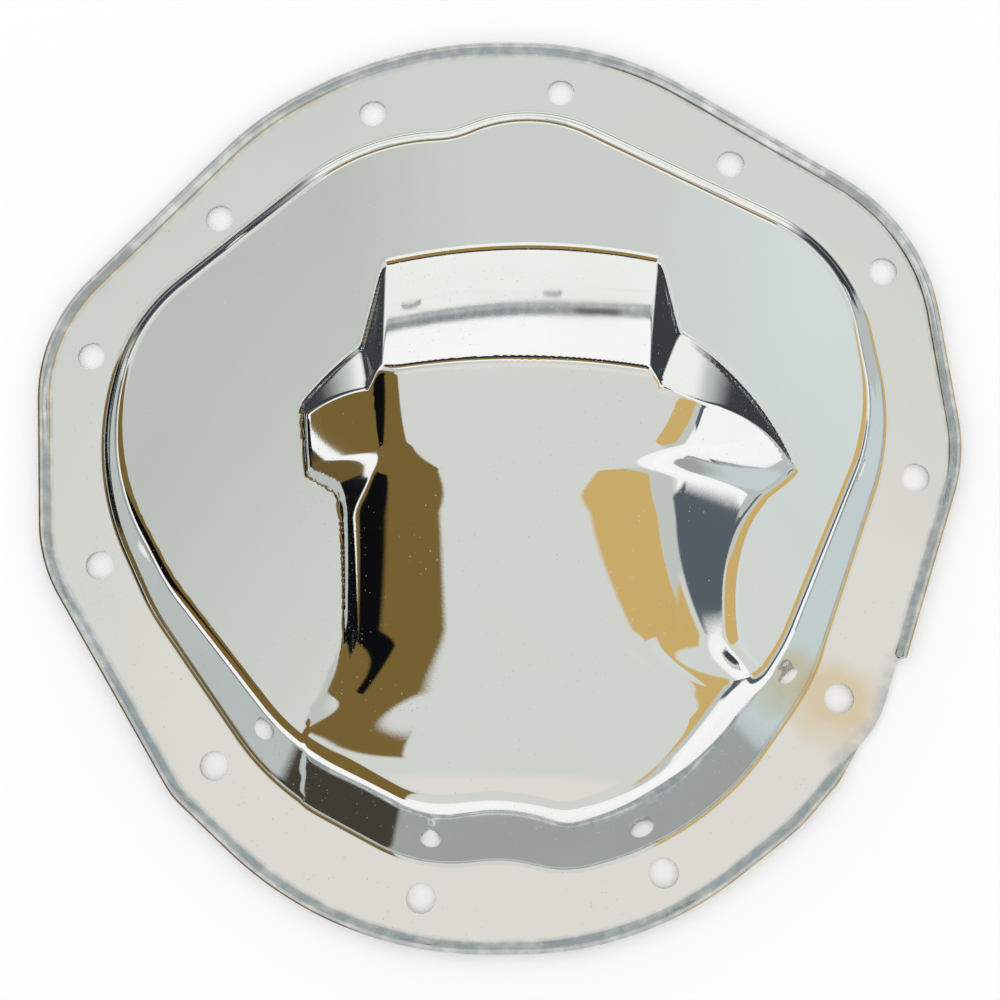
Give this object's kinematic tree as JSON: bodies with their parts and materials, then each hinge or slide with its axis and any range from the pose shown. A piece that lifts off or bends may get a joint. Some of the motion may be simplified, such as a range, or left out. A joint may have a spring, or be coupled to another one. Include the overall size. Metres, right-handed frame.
{
  "type": "differential cover",
  "caption": "Chromed pressed-steel axle differential cover with a ring-gear bulge, a turned-up lip and bolt holes round its flange.",
  "frame": {"origin": "middle of the cover's outline, on the gasket face", "axes": "+Z out of the gasket face towards the top of the dome, +Y towards the side where the dome is shallow, +X to the right in the picture"},
  "size_m": [0.2785, 0.2768, 0.071],
  "materials": {
    "chrome": "bright chrome plate with brown pitting in places"
  },
  "bodies": {
    "root": {"differential_cover": "chrome"}
  },
  "joints": []
}
